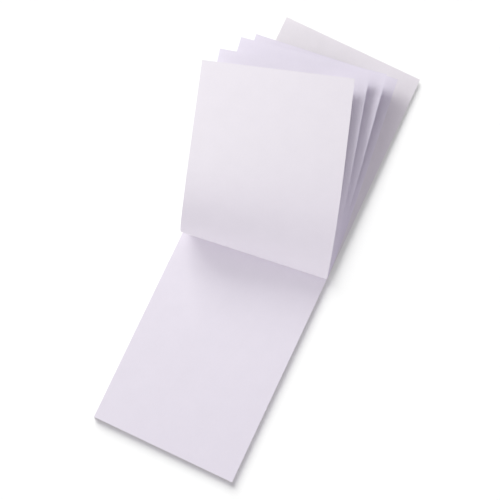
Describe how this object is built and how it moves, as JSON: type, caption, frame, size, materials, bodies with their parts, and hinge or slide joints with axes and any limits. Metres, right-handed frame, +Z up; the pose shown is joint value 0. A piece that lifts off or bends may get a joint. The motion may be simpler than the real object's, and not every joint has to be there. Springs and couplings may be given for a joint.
{
  "type": "drawing pad",
  "caption": "Drawing pad glued along its head, lying open with its card cover and top sheets turned over the head and fanned out.",
  "frame": {"origin": "centre of the back board's underside", "axes": "+Y from the foot of the pad to its glued head and on to the turned-over cover, +X across the pad to the right, +Z up from the table"},
  "size_m": [0.2059, 0.4553, 0.0755],
  "materials": {
    "pages": "matte",
    "board": "matte",
    "glue": "satin",
    "cover_card": "matte",
    "sheets": "matte"
  },
  "bodies": {
    "root": {"page_block": "pages", "back_board": "board", "head_glue": "glue", "cover": "cover_card", "sheet_1": "sheets", "sheet_2": "sheets", "sheet_3": "sheets", "sheet_4": "sheets"}
  },
  "joints": []
}
